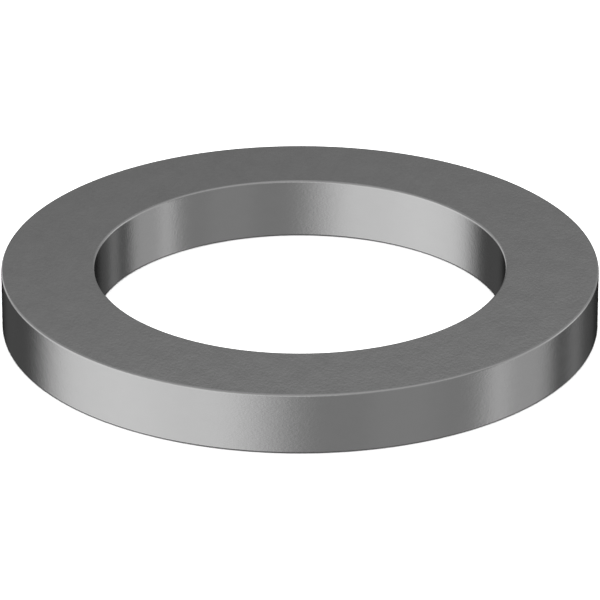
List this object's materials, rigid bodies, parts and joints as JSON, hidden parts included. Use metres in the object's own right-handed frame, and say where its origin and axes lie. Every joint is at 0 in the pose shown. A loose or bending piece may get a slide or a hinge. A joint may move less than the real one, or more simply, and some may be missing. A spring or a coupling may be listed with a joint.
{
  "type": "flat washer",
  "caption": "Thick, narrow-faced plain steel washer: a flat ring with a round bore that spreads the load under a bolt head or a nut.",
  "frame": {"origin": "centre of the bore, at the lower face that the washer rests on", "axes": "+Z along the bore's axis, up through the washer; X and Y lie in the lower face"},
  "size_m": [0.0382, 0.0382, 0.004],
  "materials": {
    "steel": "plain satin steel, faintly mottled flat faces, rims lightly rounded and worn brighter"
  },
  "bodies": {
    "root": {"washer_ring": "steel"}
  },
  "joints": []
}
